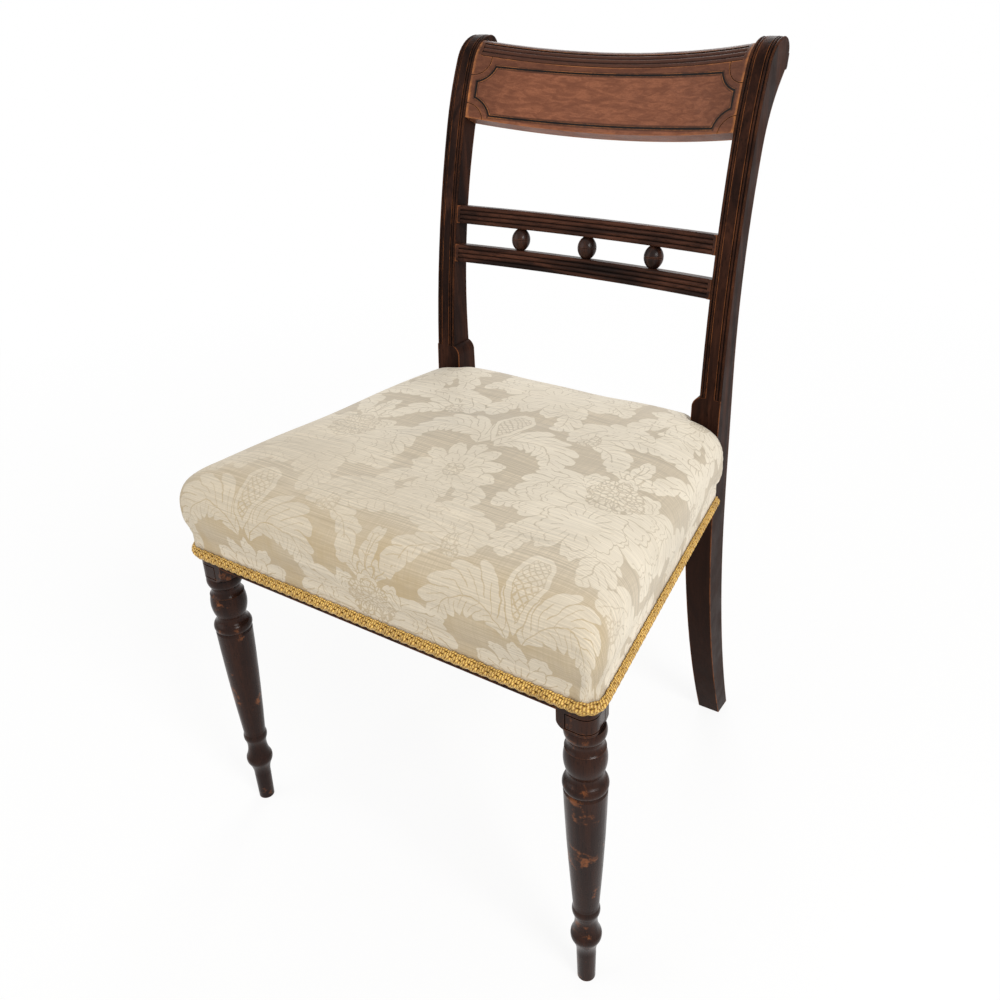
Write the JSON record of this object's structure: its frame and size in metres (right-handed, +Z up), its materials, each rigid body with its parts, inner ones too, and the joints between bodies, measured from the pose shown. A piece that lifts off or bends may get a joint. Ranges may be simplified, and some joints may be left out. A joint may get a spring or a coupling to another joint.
{
  "type": "upholstered side chair",
  "caption": "Wooden side chair with turned front legs, sabre rear legs, a reeded bowed back with balls between its cross rails, and a crowned stuff-over damask seat edged with braid.",
  "frame": {"origin": "on the floor, under the middle of the chair's overall width and depth", "axes": "+Z up, -Y towards the front of the chair, +X to the right of someone looking at its front"},
  "size_m": [0.5146, 0.5234, 0.84],
  "materials": {
    "dark_mahogany": "dark polished mahogany, worn at the edges",
    "figured_mahogany": "red-brown polished mahogany",
    "ebony_line": "black inlaid line",
    "beech": "bare beech",
    "steel": "plain steel screws",
    "blued_tack": "blued tacks",
    "jute_webbing": "woven jute webbing",
    "hessian": "open-weave hessian",
    "horsehair": "horsehair stuffing",
    "calico": "unbleached calico",
    "damask": "cream damask with a satin ground",
    "gold_braid": "gold woven braid"
  },
  "bodies": {
    "root": {"rear_post_right": "dark_mahogany", "rear_post_left": "dark_mahogany", "front_leg_right": "dark_mahogany", "front_leg_left": "dark_mahogany", "seat_rail_front": "dark_mahogany", "seat_rail_back": "dark_mahogany", "seat_rail_right": "dark_mahogany", "seat_rail_left": "dark_mahogany", "upper_cross_rail": "dark_mahogany", "lower_cross_rail": "dark_mahogany", "ball_left": "dark_mahogany", "ball_centre": "dark_mahogany", "ball_right": "dark_mahogany", "crest_rail": "figured_mahogany", "crest_stringing": "ebony_line", "corner_block_front_left": "beech", "corner_block_front_right": "beech", "corner_block_rear_left": "beech", "corner_block_rear_right": "beech", "corner_block_screws": "steel", "webbing_tacks": "blued_tack", "cover_tacks": "blued_tack", "webbing_front_to_back": "jute_webbing", "webbing_side_to_side": "jute_webbing", "hessian_base": "hessian", "hair_stuffing": "horsehair", "calico_lining": "calico", "seat_cover": "damask", "gimp_braid": "gold_braid", "gimp_braid_back": "gold_braid"}
  },
  "joints": []
}
